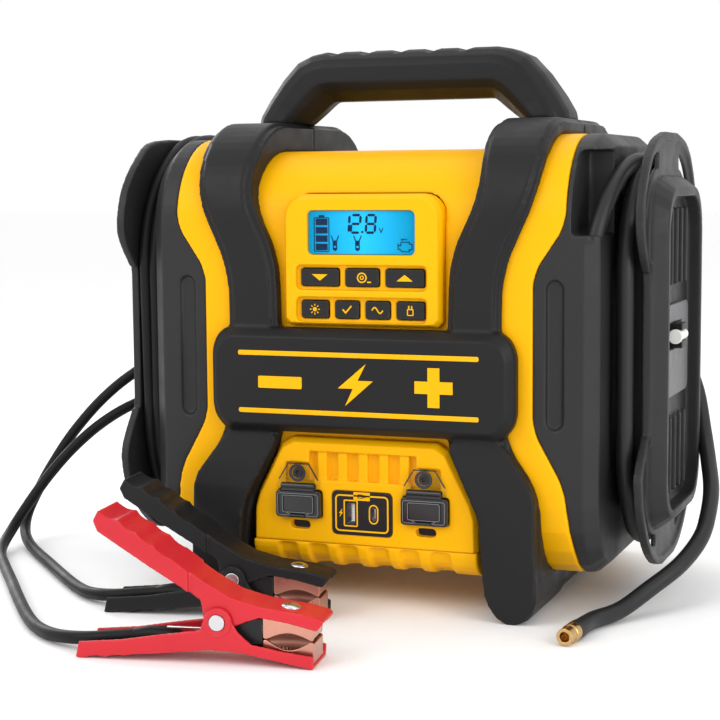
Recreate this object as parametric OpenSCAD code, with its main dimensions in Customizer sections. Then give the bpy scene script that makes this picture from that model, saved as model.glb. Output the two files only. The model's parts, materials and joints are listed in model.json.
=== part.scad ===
/* [Body] */
// Depth of the yellow body, front to rear
body_d = 194; // [186:1:200]
// Height of the top of the yellow shoulders above the floor
body_top = 280; // [276:1:284]
// Radius of the long rounded top edges
top_r = 52; // [44:1:60]
// Height of the underside of the body above the floor
body_base = 22; // [18:1:26]
// Thickness of the moulded walls
wall = 4; // [3:0.5:5]

/* [Bumper] */
// Depth over the black bumper bands
band_d = 207; // [204:1:210]
// Height of the top of the bands, where the handle is seated
band_top = 290; // [288:1:292]
// Depth over the crossbars
bar_d = 220; // [216:1:224]

/* [Handle] */
// Height of the top of the handle above the floor
handle_top = 335; // [330:1:345]
// Height of the underside of the grip
grip_z = 304; // [302:1:308]
// Depth of the grip
grip_d = 44; // [36:1:50]

/* [Spools] */
// Distance from the middle to the side of each pod
pod_x = 140; // [138:1:142]
// Distance from the middle to the inner face of each flange
flange_x = 158; // [157:1:160]
// Thickness of a flange over its rim
flange_t = 5; // [4:0.5:6]
// How far the boss stands out from its flange
boss_t = 9; // [8:1:12]

/* [Buttons] */
// Height of a button cap
button_h = 10.4; // [9:0.2:11]
// How far a button travels when it is pressed
button_travel = 1; // [0.6:0.1:1]

/* [Outlets] */
// Distance from the middle to the centre of each outlet
outlet_x = 39.8; // [38:0.2:42]
// Height of the outlet covers' hinge pins
cover_hinge_z = 72; // [71:0.5:73]

/* [Clamps] */
// Width of a clamp across its channel
clamp_w = 30; // [28:1:34]
// Radius of the clamp pivot pins
clamp_pin_r = 3; // [2.5:0.5:3.5]
// Turn of the clamps away from the front of the pack
clamp_turn = 8.5; // [0:0.5:10]

/* [Cords] */
// Outer diameter of the air hose
hose_d = 10; // [9:0.5:11]
// Outer diameter of each jumper cable
cable_d = 7.5; // [7:0.5:8]

/* [Hidden] */
$fn = 48;
big = 400;           // reaches past every part of the pack
run_gap = 0.3;       // clearance round a part that moves
pin_gap = 0.05;      // radial clearance of a pin in its bore

yellow = "#f7b918";
charcoal = "#2e2e30";
copper = "#b8735a";

// ---------- outlines ----------
function arc(c, r, a0, a1, n = 8) =
    [for (i = [0:n]) let (a = a0 + (a1 - a0) * i / n) [c.x + r * cos(a), c.y + r * sin(a)]];

// A box outline with round corners, given by its half width, half height and corner radius
function round_box(w, h, r, n = 4) = concat(
    arc([w - r, h - r], r, 0, 90, n), arc([r - w, h - r], r, 90, 180, n),
    arc([r - w, r - h], r, 180, 270, n), arc([w - r, r - h], r, 270, 360, n));

// An upright slot outline, given by its end radius and its overall half height
function slot(r, h, n = 8) = concat(arc([0, h - r], r, 0, 180, n), arc([0, r - h], r, 180, 360, n));

function flipped(p) = [for (i = [len(p) - 1:-1:0]) [-p[i].x, p[i].y]];
function both_sides(p) = concat(p, flipped(p));
function inset(p, c, k) = [for (q = p) [c.x + (q.x - c.x) * k.x, c.y + (q.y - c.y) * k.y]];

function unit(v) = v / norm(v);

// An outline with each corner cut off at distance d along its two sides
function blunt(p, d) = [for (i = [0:len(p) - 1])
    let (a = p[(i + len(p) - 1) % len(p)], b = p[i], c = p[(i + 1) % len(p)])
    each [b + unit(a - b) * min(d, norm(a - b) / 3), b + unit(c - b) * min(d, norm(c - b) / 3)]];

// An outline with bends in place of its corners, which start at distance d from them
function soft(p, d = 8) = blunt(blunt(p, d), 0.4 * d);

// Side view of the body, in depth and height: half depth, top, top radius, base and lower radius
function side_view(d, top, r, base, rb) = concat(
    arc([d - r, top - r], r, 0, 90, 14), arc([r - d, top - r], r, 90, 180, 14),
    arc([rb - d, base + rb], rb, 180, 270, 5), arc([d - rb, base + rb], rb, 270, 360, 5));

shoulder_view = side_view(body_d / 2, body_top, top_r, body_base, 44);
barrel_view = side_view(body_d / 2 - 4, body_top - 8, top_r - 2, body_base + 2, 40);
cavity_view = side_view(body_d / 2 - 4 - wall, body_top - 8 - wall, top_r - 2 - wall, body_base + 4, 36);
pod_view = side_view(body_d / 2 - 1, body_top, top_r, body_base, 44);
pod_edge_view = side_view(body_d / 2 - 8, body_top - 7, top_r - 7, body_base + 7, 37);
pod_cavity_view = side_view(body_d / 2 - 12, body_top - 12, top_r - 12, body_base + 12, 32);
band_view = side_view(band_d / 2, band_top, top_r + 6, 10, 20);
band_edge_view = side_view(band_d / 2 - 2.5, band_top - 2.5, top_r + 3.5, 10, 20);

// Front view of the right half of the yellow body, from the top down
yellow_edge = soft([[0, big], [121.5, big], [121.5, 228], [102.6, 200], [102.6, 111], [121, 78],
    [126, 38], [126, 0], [0, 0]], 5);
// Front view of the right band: down its outer edge, then up its inner edge
band_edge = soft([[70, big], [109, big], [109, 278], [105, 243], [86, 201], [85, 167], [87.5, 104],
    [108, 75], [109, 14], [77, 14], [76, 22], [72.5, 60], [52, 100], [53, 168], [54.5, 209], [72, 246],
    [70, 274]]);
band_crest = soft([[74, big], [105, big], [105, 277], [101, 245], [82, 204], [81, 167], [83.5, 102],
    [104, 73], [105, 16], [81, 16], [80, 22], [76.5, 61], [56, 101], [57, 168], [58.5, 207], [76, 244],
    [74, 274]]);
// Front view of the crossbar
bar_low = 104.6;
bar_high = 167;
bar_view = blunt(both_sides([[86, bar_low], [93, 112], [95, 119], [95, 154], [92, 162], [86, bar_high]]), 2);
bar_mid = [0, (bar_low + bar_high) / 2];

panel_view = both_sides(concat([[46.5, 168.5], [49.5, 171.5]], arc([36.5, 233], 13, 0, 90, 6)));
lower_base = 38;
lower_view = both_sides([[71, lower_base], [70.6, 57.5], [68.2, 66.4], [52.8, 96.5], [45.5, 101]]);

// Turns a drawing of depth and height into a slab from x0 to x1
module across(x0, x1) {
    translate([x0, 0, 0]) rotate([90, 0, 90]) linear_extrude(x1 - x0) children();
}

// Turns a drawing of width and height into a slab from y0 back to y1
module along(y0, y1) {
    translate([0, y1, 0]) rotate([90, 0, 0]) linear_extrude(y1 - y0) children();
}

module mirror_copy() {
    children();
    mirror([1, 0, 0]) children();
}

module front_half() {
    intersection() {
        children();
        translate([-big / 2, -big, -big / 2]) cube([big, big, 2 * big]);
    }
}

// ---------- housing ----------
// Outer solid of the yellow body: a barrel with a shoulder at each side
module yellow_solid() {
    across(-80, 80) polygon(barrel_view);
    mirror_copy() intersection() {
        across(78, 126) polygon(shoulder_view);
        along(-big, big) polygon(both_sides(yellow_edge));
    }
}

cavity_x = 98;
module hollow_body() {
    difference() {
        yellow_solid();
        across(-cavity_x, cavity_x) polygon(cavity_view);
    }
}

// Side view of the skirt that curves under the front, down its outside and back up inside the wall
skirt_outside = [[-101, lower_base], [-100.6, 34], [-98.8, 29.4], [-95.4, 25.7], [-90.4, 23],
    [-84.3, 21.4], [-76, 21]];
skirt_view = concat(skirt_outside, [[-62, 22.5], [-60, 25.6], [-70, 29], [-76, 33], [-81.5, 38]]);
skirt_half = 71;
recess_d = 3.4;
recess_step = 19.3;
recess_half = 6;
recess_top = 37;
recess_foot = [-78, 24.2];
// Side view of what is cut away for one recess, which gets shallower towards its foot
recess_view = concat([[-big, recess_top], [skirt_outside[0].x + recess_d, recess_top]],
    [for (k = [1:5]) skirt_outside[k] + recess_d * [1 - k / 9, k / 6]],
    [recess_foot, [recess_foot.x, 0], [-big, 0]]);
module skirt() {
    difference() {
        across(-skirt_half, skirt_half) polygon(skirt_view);
        for (i = [-2.5:2.5])
            across(i * recess_step - recess_half, i * recess_step + recess_half) polygon(recess_view);
    }
}

module front_housing() {
    color(yellow) difference() {
        front_half() hollow_body();
        along(-big, -wall) polygon(panel_view);
        along(-big, -wall) polygon(lower_view);
    }
    color(yellow) skirt();
}

fan_x = 58;
fan_z = 140;
light_z = 226;
inlet_x = -52;
inlet_z = 62;
screw_y = body_d / 2 - 4;
module rear_housing() {
    color(yellow) difference() {
        mirror([0, 1, 0]) front_half() hollow_body();
        for (z = [fan_z - 21:7:fan_z + 21])
            translate([fan_x - 22, 0, z - 1.5]) cube([44, big, 3]);
        translate([0, 0, light_z]) along(0, big) polygon(round_box(40, 9, 4));
        translate([inlet_x, 0, inlet_z]) along(0, big) polygon(round_box(14, 11, 3));
        rear_screws(0.1);
    }
    color(yellow) mirror([0, 1, 0]) skirt();
}

module rear_screws(gap) {
    for (x = [-42, 42], z = [100, 190]) {
        translate([x, screw_y - 2.5, z]) rotate([-90, 0, 0]) cylinder(h = 10, r = 3.4 + gap);
        translate([x, screw_y - 8, z]) rotate([-90, 0, 0]) cylinder(h = 6, r = 1.6 + gap / 2);
    }
}

// ---------- bumper ----------
// Side view of a foot, which stands out from its band and runs back under the body
foot_view = [[-bar_d / 2, 0], [-46, 0], [-38, 8], [0, 8], [0, 22], [-60, 24], [-88, 42], [-90, 104],
    [-band_d / 2, 104], [-107, 84], [-109, 70], [-bar_d / 2, 54]];
// Front view of the right foot
foot_edge = blunt([[86, 104], [107, 75], [108.5, 9], [101, 0], [87, 0], [78, 13], [77, 22], [74, 60],
    [54, 99], [56, 104]], 4);
module band_frame() {
    difference() {
        union() {
            mirror_copy() {
                intersection() {
                    across(40, 112) polygon(band_edge_view);
                    along(-big, 0) polygon(band_edge);
                }
                intersection() {
                    across(40, 112) polygon(band_view);
                    along(-big, 0) polygon(band_crest);
                }
                intersection() {
                    across(52, 110) polygon(foot_view);
                    along(-big, 0) polygon(foot_edge);
                }
            }
            hull() {
                along(-bar_d / 2 + 6, -90) polygon(bar_view);
                along(-bar_d / 2, -90) polygon(inset(bar_view, bar_mid, [0.95, 0.84]));
            }
        }
        yellow_solid();
        mirror_copy() across(102.6, 126) polygon(pod_view);
    }
}

module front_bumper() {
    color(charcoal) difference() {
        band_frame();
        along(-98.5, -wall) polygon(panel_view);
        along(-98.5, -wall) polygon(lower_view);
    }
}

module rear_bumper() {
    color(charcoal) mirror([0, 1, 0]) band_frame();
}

stripe_x = 75;
stripe_t = 0.6;
module name_stripes() {
    color(yellow) for (z = [152.3, 117.7])
        translate([0, 0, z]) along(-bar_d / 2 - stripe_t, -bar_d / 2) polygon(round_box(stripe_x, 1.5, 1));
}

// ---------- handle ----------
// Half of the grip's section: half depth, and how far up from its underside
grip_section = [[5, 0], [18, 0.2], [grip_d / 2, 0.36], [grip_d / 2, 0.68], [grip_d / 2 - 2, 0.82],
    [15, 0.95], [10, 1]];
grip_ring = concat(grip_section,
    [for (i = [len(grip_section) - 1:-1:0]) [-grip_section[i].x, grip_section[i].y]]);
// Each cross cut of the handle's right half from the middle to the foot: its inner and outer end in
// width and height, and how deep it is against the grip
handle_cuts = [[[0, grip_z], [0, handle_top], 1], [[50, grip_z], [57, handle_top], 1],
    [[53, grip_z], [66, 333.4], 1], [[56, 302], [76, 329], 1], [[60, 298.5], [86, 318.5], 1],
    [[65, 294.5], [96, 304.5], 1.02], [[69, 291.5], [101.5, 295], 1.06],
    [[71, band_top], [102.5, band_top], 1.08]];
function cut_ring(c, side) = [for (q = grip_ring)
    let (w = c[0] + (c[1] - c[0]) * q.y) [side * w.x, q.x * c[2], w.y]];
handle_rings = concat([for (i = [len(handle_cuts) - 1:-1:1]) cut_ring(handle_cuts[i], -1)],
    [for (c = handle_cuts) cut_ring(c, 1)]);

// A solid skin over a row of rings that all have the same number of points
module loft(rings) {
    n = len(rings[0]);
    last = (len(rings) - 1) * n;
    polyhedron([for (r = rings) each r], concat(
        [[for (j = [0:n - 1]) j]],
        [for (i = [0:len(rings) - 2], j = [0:n - 1]) let (a = i * n + j, b = i * n + (j + 1) % n)
            [a, a + n, b + n, b]],
        [[for (j = [n - 1:-1:0]) last + j]]));
}

grip_notch = [[-3.4, 4], [-3, -0.6], [-1.6, -2.4], [1.4, -2.6], [6.4, 0.2], [6.4, 4]];
module carry_handle() {
    color(charcoal) difference() {
        loft(handle_rings);
        for (x = [-51:21.5:36])
            translate([x, 0, handle_top]) along(-big, big) polygon(grip_notch);
    }
}

// ---------- side pods ----------
notch_y = -54;
notch_z = 222;
notch_h = 48;
module pod_shell() {
    difference() {
        union() {
            difference() {
                across(102.6, 132) polygon(pod_view);
                along(-big, big) polygon(both_sides(yellow_edge));
            }
            hull() {
                across(131, 132) polygon(pod_view);
                across(pod_x - 1, pod_x) polygon(pod_edge_view);
            }
        }
        across(110, pod_x - wall) polygon(pod_cavity_view);
        for (s = [-1, 1])
            translate([115.3, 0, 154]) along(s * body_d / 2 - 4, s * body_d / 2 + 4) polygon(slot(5.1, 43));
    }
}

// The right pod has a walled notch at its top front corner, where the air hose comes out
module right_side_pod() {
    color(charcoal) difference() {
        union() {
            pod_shell();
            intersection() {
                across(121.5, pod_x - wall) polygon(pod_view);
                translate([121.5, -big, notch_z - 3]) cube([big, big + notch_y + 3, notch_h + 3]);
            }
        }
        translate([124.5, -big, notch_z]) cube([big, big + notch_y, notch_h]);
    }
}

module left_side_pod() {
    color(charcoal) mirror([1, 0, 0]) pod_shell();
}

// ---------- spools ----------
spool_z = 150;
hub_w = 48;
hub_h = 98;
flange_edge = [[17, 131], [45, 126], [64, 116], [77, 101], [83, 88], [82, 73], [74, 60], [64, 50], [61, 42],
    [61, -36], [64, -46], [83, -64], [82, -76], [78, -88], [61, -110], [38, -124], [17, -129]];
// The left flange follows the same waisted shape with a wider waist
left_edge = [[30, 131], [57, 128], [75, 116], [86, 105], [92.5, 95], [97, 79], [95, 69], [88, 59], [81, 51],
    [79, 44], [79, -31], [82, -39], [90, -50], [97, -63], [96, -76], [90, -90], [74, -107], [58, -118],
    [43, -122], [30, -124]];
right_view = both_sides(smooth(flange_edge, 3));
left_view = both_sides(smooth(left_edge, 3));
rim_w = 5;
// Outlines of the boss at its foot and at its lip, and of the pocket in it
boss_foot_view = round_box(60, 105, 32, 6);
boss_lip_view = round_box(55, 98, 26, 6);
pocket_view = round_box(50, 93, 22, 6);
// A bent slot round a corner of the boss, between two radii
slot_at = [28, 73];
function bent_slot(r0, r1) = concat(arc(slot_at, r1, 12, 86), arc(slot_at, r0, 84, 14));
module cable_slots() {
    for (s = [-1, 1])
        scale([s, 1]) {
            polygon(bent_slot(37, 46));
            scale([1, -1]) polygon(bent_slot(35.5, 42));
        }
}

rib_x = flange_x + flange_t;
rib_low = 40;
rib_h = 46;
module flange(view, slotted) {
    translate([0, 0, spool_z]) difference() {
        union() {
            across(pod_x, flange_x) polygon(slot(hub_w, hub_h));
            across(flange_x, rib_x - 2) difference() {
                polygon(view);
                if (slotted) cable_slots();
            }
            across(flange_x, rib_x) difference() {
                polygon(view);
                offset(delta = -rim_w) polygon(view);
            }
            hull() {
                across(flange_x, rib_x) polygon(boss_foot_view);
                across(flange_x, rib_x + boss_t) polygon(boss_lip_view);
            }
        }
        across(pod_x + wall, flange_x - 1) polygon(slot(hub_w - wall, hub_h - wall));
        across(rib_x, big) polygon(pocket_view);
    }
    for (y = [-30:15:30], z = [rib_low, -rib_low - rib_h])
        translate([rib_x, y - 1.5, spool_z + z]) cube([4, 3, rib_h]);
}

module right_flange() {
    color(charcoal) flange(right_view, true);
}

module left_flange() {
    color(charcoal) mirror([1, 0, 0]) flange(left_view, false);
}

// The clip holds a nozzle adaptor that lies from front to rear across the panel
adaptor_at = [rib_x + 5, 2, spool_z + 9];
adaptor_r = 3.4;
clip_d = 16;
module accessory_panel() {
    color("#8a8c8f") difference() {
        translate([0, 0, spool_z]) across(rib_x, rib_x + 2.5) polygon(round_box(44, 28, 6));
        translate([rib_x, adaptor_at.y - 18, adaptor_at.z - 8]) cube([big, 40, 16]);
    }
}

module accessory_clip() {
    color(charcoal) translate(adaptor_at) difference() {
        translate([-5, -clip_d / 2, -7.5]) cube([8, clip_d, 15]);
        rotate([90, 0, 0]) cylinder(h = 40, r = adaptor_r, center = true);
        translate([0, -clip_d, -adaptor_r]) cube([big, 2 * clip_d, 2 * adaptor_r]);
    }
}

module nozzle_adaptor() {
    color("#e8e8e4") translate(adaptor_at) rotate([-90, 0, 0]) {
        translate([0, 0, -12]) cylinder(h = 23, r = adaptor_r);
        translate([0, 0, -15]) cylinder(h = 3, r = 4.4);
        translate([0, 0, 11]) cylinder(h = 9, r1 = 3, r2 = 1.6, $fn = 24);
    }
}

// ---------- control panel ----------
panel_y = -101;
strip_y = -97;
panel_back = -88;
board_y = -90;
lcd_w = 33.2;
lcd_z = 223.4;
lcd_h = 12.6;
row_one_z = 197;
row_two_z = 178;
button_y = -98.3;

// One row of recessed buttons: centre, width and height of the strip
module strip(z, w) {
    translate([0, 0, z]) along(panel_y - 2, strip_y) polygon(round_box(w, button_h / 2 + 2.2, 3));
}

module button_hole(x0, x1, z) {
    translate([(x0 + x1) / 2, 0, z]) along(panel_y, panel_back)
        polygon(round_box((x1 - x0) / 2 + run_gap, button_h / 2 + run_gap, 1.5));
}

down_x = [-38.6, -14.6];
air_x = [-10.6, 10.6];
up_x = [14.6, 38.6];
light_x = [-38.6, -21.3];
check_x = [-17.2, -2];
ac_x = [2, 17.2];
usb_x = [21.3, 38.6];

module control_panel() {
    color(yellow) difference() {
        hull() {
            along(panel_y + 4, panel_back) polygon(panel_view);
            along(panel_y, panel_back) polygon(inset(panel_view, [0, 205], [0.95, 0.95]));
        }
        translate([-45, strip_y + 3, 171]) cube([90, big, 70]);
        translate([0, 0, lcd_z]) along(panel_y - 1, panel_back)
            polygon(round_box(lcd_w + 0.4, lcd_h + 0.4, 3));
        strip(row_one_z, 41);
        strip(row_two_z, 41);
        for (x = [down_x, air_x, up_x])
            button_hole(x[0], x[1], row_one_z);
        for (x = [light_x, check_x, ac_x, usb_x])
            button_hole(x[0], x[1], row_two_z);
    }
}

// A cap with a wider collar behind the panel that keeps it in
module button(x, z) {
    w = (x[1] - x[0]) / 2;
    color("#1c1c1e") translate([(x[0] + x[1]) / 2, 0, z]) {
        along(button_y, strip_y + 3 + run_gap) polygon(round_box(w, button_h / 2, 1.3));
        along(strip_y + 3 + run_gap, board_y - 1.2 - button_travel - run_gap)
            polygon(round_box(w + 1, button_h / 2 + 1, 1.3));
    }
}

module button_down() { button(down_x, row_one_z); }
module button_air() { button(air_x, row_one_z); }
module button_up() { button(up_x, row_one_z); }
module button_light() { button(light_x, row_two_z); }
module button_check() { button(check_x, row_two_z); }
module button_ac() { button(ac_x, row_two_z); }
module button_usb() { button(usb_x, row_two_z); }

module control_board() {
    color("#1f5a3a") {
        translate([-44, board_y, 171.5]) cube([88, 1.6, 69]);
        for (x = [down_x, air_x, up_x])
            translate([(x[0] + x[1]) / 2 - 3, board_y - 1.2, row_one_z - 3]) cube([6, 1.3, 6]);
        for (x = [light_x, check_x, ac_x, usb_x])
            translate([(x[0] + x[1]) / 2 - 3, board_y - 1.2, row_two_z - 3]) cube([6, 1.3, 6]);
    }
}

module lcd_module() {
    color("#15a5dc") translate([0, 0, lcd_z]) along(-98.6, board_y) polygon(round_box(lcd_w, lcd_h, 1.5));
}

module lcd_window() {
    color("#9fd8ee", 0.4) translate([0, 0, lcd_z]) along(-99.8, -98.6) polygon(round_box(lcd_w, lcd_h, 1.5));
}

// ---------- lower panel ----------
outlet_z = 61.3;
outlet_hw = 14.4;
outlet_hh = 8.5;
usb_hw = 19;
usb_z = 57.2;
usb_hh = 13.2;
module lower_panel() {
    color(yellow) difference() {
        hull() {
            along(panel_y + 4, -90) polygon(lower_view);
            along(panel_y, -90) polygon(inset(lower_view, [0, lower_base], [0.97, 0.95]));
        }
        translate([-34, panel_y - 1, 76]) cube([68, 6, 17]);
        translate([0, 0, usb_z]) along(-big, 0) polygon(round_box(usb_hw, usb_hh, 3));
        for (s = [-1, 1])
            translate([s * outlet_x, 0, 0]) {
                translate([0, 0, outlet_z]) along(-big, 0) polygon(round_box(outlet_hw, outlet_hh, 2));
                translate([0, 0, 48.3]) along(-big, panel_y + 5) polygon(round_box(6.3, 2.6, 2.5));
                translate([-9, -big, 69]) cube([18, big - 98, 17]);
                translate([0, -big, 80.3]) rotate([-90, 0, 0]) cylinder(h = big, r = 1.65);
            }
    }
    color(yellow) for (x = [-26:13:26])
        translate([x - 3, panel_y + 1.5, 76]) cube([6, 3.5, 17]);
}

port_a_x = -7;
port_c_x = 7.5;
module usb_panel() {
    color("#161618") difference() {
        translate([0, 0, usb_z]) along(panel_y - 0.4, -90) polygon(round_box(usb_hw, usb_hh, 3));
        translate([port_a_x, 0, usb_z]) along(-big, 0) polygon(round_box(3.6, 7.2, 0.6));
        translate([port_c_x, 0, usb_z]) along(-big, 0) polygon(slot(2.1, 5));
    }
}

module usb_a_port() {
    color("#c9ccd0") translate([port_a_x, 0, usb_z]) {
        difference() {
            along(panel_y, -84) polygon(round_box(3.6, 7.2, 0.6));
            along(-big, -86) polygon(round_box(2.8, 6.4, 0.4));
        }
        translate([0.6, -98, -5.5]) cube([1.6, 12, 11]);
    }
}

module usb_c_port() {
    color("#c9ccd0") translate([port_c_x, 0, usb_z]) {
        difference() {
            along(panel_y, -90) polygon(slot(2.1, 5));
            along(-big, -92) polygon(slot(1.5, 4.4));
        }
        translate([-0.4, -99, -3]) cube([0.8, 7, 6]);
    }
}

// ---------- mains outlets ----------
outlet_face = -99;
module ac_outlets() {
    color("#29292b") for (s = [-1, 1])
        translate([s * outlet_x, 0, outlet_z]) difference() {
            along(outlet_face, -66) polygon(round_box(outlet_hw, outlet_hh, 2));
            for (z = [-1, 1])
                translate([-7.5, outlet_face - 1, z * 4.6 - 0.9]) cube([8, 16, 1.8]);
            translate([6, outlet_face - 1, 0]) rotate([-90, 0, 0]) cylinder(h = 16, r = 2.4);
        }
}

hinge_y = -103.4;
knuckle_r = 2.2;
hinge_pin_r = 1;
module cover_brackets() {
    color("#d8dcdc", 0.5) for (s = [-1, 1])
        translate([s * outlet_x, 0, 0]) {
            difference() {
                union() {
                    along(-103, -101) polygon(both_sides([[13, 75.2], [6.5, 86]]));
                    translate([0, -104.6, 80.3]) rotate([-90, 0, 0]) cylinder(h = 3.6, r = 5.6);
                }
                translate([0, -104.7, 80.3]) rotate([-90, 0, 0]) cylinder(h = 2.2, r = 3.5);
                translate([0, -big, 80.3]) rotate([-90, 0, 0]) cylinder(h = big, r = 1.65);
            }
            for (e = [-1, 1]) {
                translate([e * 12.2 - 1.2, hinge_y, cover_hinge_z]) rotate([0, 90, 0])
                    cylinder(h = 2.4, r = knuckle_r - 0.2);
                translate([e * 12.2 - 1.2, -103, cover_hinge_z]) cube([2.4, 2, 3.4]);
            }
            translate([-12.2, hinge_y, cover_hinge_z]) rotate([0, 90, 0]) cylinder(h = 24.4, r = hinge_pin_r);
        }
}

module outlet_cover() {
    difference() {
        union() {
            translate([0, 0, outlet_z - 0.2]) along(-104.4, -101.6)
                polygon(round_box(outlet_hw, outlet_hh - 0.4, 2));
            along(-105.4, -101.6) polygon([[-10.7, 69], [10.7, 69], [10.7, 73], [-10.7, 73]]);
            translate([-10.7, hinge_y, cover_hinge_z]) rotate([0, 90, 0]) cylinder(h = 21.4, r = knuckle_r);
            translate([-5, -107, outlet_z - outlet_hh + 0.8]) cube([10, 3, 1.6]);
        }
        translate([-20, hinge_y, cover_hinge_z]) rotate([0, 90, 0])
            cylinder(h = 40, r = hinge_pin_r + pin_gap);
        for (e = [-1, 1])
            translate([e * 13 - 2, -110, 69.6]) cube([4, 20, 8]);
    }
}

module left_outlet_cover() {
    color("#3a3d42") translate([-outlet_x, 0, 0]) outlet_cover();
}

module right_outlet_cover() {
    color("#3a3d42") translate([outlet_x, 0, 0]) outlet_cover();
}

module screws() {
    color("#b9bcc0") {
        difference() {
            rear_screws(0);
            for (x = [-42, 42], z = [100, 190])
                translate([x, screw_y - 0.3, z]) rotate([-90, 0, 0]) cylinder(h = 20, r = 6);
            for (x = [-42, 42], z = [100, 190])
                translate([x, screw_y - 1.8, z]) rotate([-90, 0, 0]) cylinder(h = 20, r = 1.5, $fn = 6);
        }
        for (s = [-1, 1])
            translate([s * outlet_x, 0, 80.3]) difference() {
                union() {
                    translate([0, -104.4, 0]) rotate([-90, 0, 0]) cylinder(h = 1.9, r = 3.3);
                    translate([0, -102.5, 0]) rotate([-90, 0, 0]) cylinder(h = 10, r = 1.6);
                }
                translate([0, -105, 0]) rotate([-90, 0, 0]) cylinder(h = 2, r = 1.5, $fn = 6);
            }
    }
}

// ---------- inside ----------
battery_size = [181, 77, 162];
module battery() {
    color("#3b3f45") {
        translate([-battery_size.x / 2, -battery_size.y / 2, body_base + 4]) cube(battery_size);
        for (s = [-1, 1])
            translate([s * 72 - 7, -6, body_base + 4 + battery_size.z]) cube([14, 12, 8]);
    }
}

motor_z = 228;
module compressor_motor() {
    color("#9a9da1") {
        translate([-70, 0, motor_z]) rotate([0, 90, 0]) cylinder(h = 66, r = 19);
        translate([-76, 0, motor_z]) rotate([0, 90, 0]) cylinder(h = 6, r = 7);
    }
}

module compressor_pump() {
    color("#b4b7ba") {
        translate([-4, -22, motor_z - 24]) cube([24, 44, 50]);
        translate([20, 0, motor_z + 4]) rotate([0, 90, 0]) cylinder(h = 40, r = 13);
        for (x = [24:6:54])
            translate([x, 0, motor_z + 4]) rotate([0, 90, 0]) cylinder(h = 2.5, r = 18);
    }
}

module inverter_board() {
    color("#24643f") translate([-88, 46, 60]) {
        cube([112, 1.6, 120]);
        translate([8, 1.6, 10]) cube([34, 24, 30]);
        translate([52, 1.6, 10]) cube([40, 24, 26]);
        for (x = [12:14:96])
            translate([x, 1.6, 100]) rotate([-90, 0, 0]) cylinder(h = 20, r = 6);
    }
}

fan_y = 73.5;
module fan_frame() {
    color("#1d1d1f") translate([fan_x, fan_y, fan_z]) {
        difference() {
            along(0, 15) polygon(round_box(26, 26, 3));
            translate([0, -1, 0]) rotate([-90, 0, 0]) cylinder(h = 20, r = 24);
        }
        for (a = [45, 135])
            rotate([0, a, 0]) translate([-25, 0, -1.5]) cube([50, 1.5, 3]);
        rotate([-90, 0, 0]) cylinder(h = 4, r = 9);
        rotate([-90, 0, 0]) cylinder(h = 11, r = 1.5);
    }
}

blade_count = 7;
module cooling_fan() {
    color("#333436") translate([fan_x, fan_y, fan_z]) difference() {
        union() {
            translate([0, 4.6, 0]) rotate([-90, 0, 0]) cylinder(h = 8.5, r = 9);
            for (i = [0:blade_count - 1])
                rotate([0, i * 360 / blade_count, 0]) translate([8, 8.8, 0]) rotate([32, 0, 0])
                    translate([0, -0.6, -5]) cube([14.5, 1.2, 10]);
        }
        translate([0, 4, 0]) rotate([-90, 0, 0]) cylinder(h = 7.5, r = 1.5 + pin_gap);
    }
}

module rear_light_lens() {
    color("#e9edf0", 0.5) translate([0, 0, light_z]) along(86, 90) polygon(round_box(40, 9, 4));
}

module rear_light_board() {
    color("#f4f4ee") {
        translate([0, 0, light_z]) along(82, 83.6) polygon(round_box(38, 8, 3));
        for (x = [-30:12:30])
            translate([x - 2, 83.6, light_z - 2]) cube([4, 1.2, 4]);
    }
}

module charge_inlet() {
    color("#1a1a1c") translate([inlet_x, 0, inlet_z]) {
        difference() {
            along(73, 91) polygon(round_box(14, 11, 3));
            along(77, 100) polygon(round_box(11, 8, 2));
        }
        for (s = [-1, 1])
            translate([s * 4 - 0.8, 76, -3]) cube([1.6, 9, 6]);
    }
}

// ---------- cords ----------
function curve_point(a, b, c, d, t) =
    (2 * b + (c - a) * t + (2 * a - 5 * b + 4 * c - d) * t * t + (3 * b - a - 3 * c + d) * t * t * t) / 2;

// A smooth line through every point of a route, with k steps from each point to the next
function smooth(p, k) = concat(
    [for (i = [0:len(p) - 2], j = [0:k - 1])
        curve_point(p[max(i - 1, 0)], p[i], p[i + 1], p[min(i + 2, len(p) - 1)], j / k)],
    [p[len(p) - 1]]);

function direction(p, i) = unit(p[min(i + 1, len(p) - 1)] - p[max(i - 1, 0)]);
function square_to(u, t) = unit(u - (u * t) * t);
function side_vectors(p, u, i = 0) =
    i == len(p) ? [] : let (v = square_to(u, direction(p, i))) concat([v], side_vectors(p, v, i + 1));

// A round tube swept along a line of points
module tube(p, r, sides) {
    u = side_vectors(p, [1, 0.2, 0.1]);
    loft([for (i = [0:len(p) - 1]) let (t = direction(p, i)) [for (j = [0:sides - 1])
        let (a = j * 360 / sides) p[i] + r * (cos(a) * u[i] + sin(a) * cross(t, u[i]))]]);
}

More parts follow.
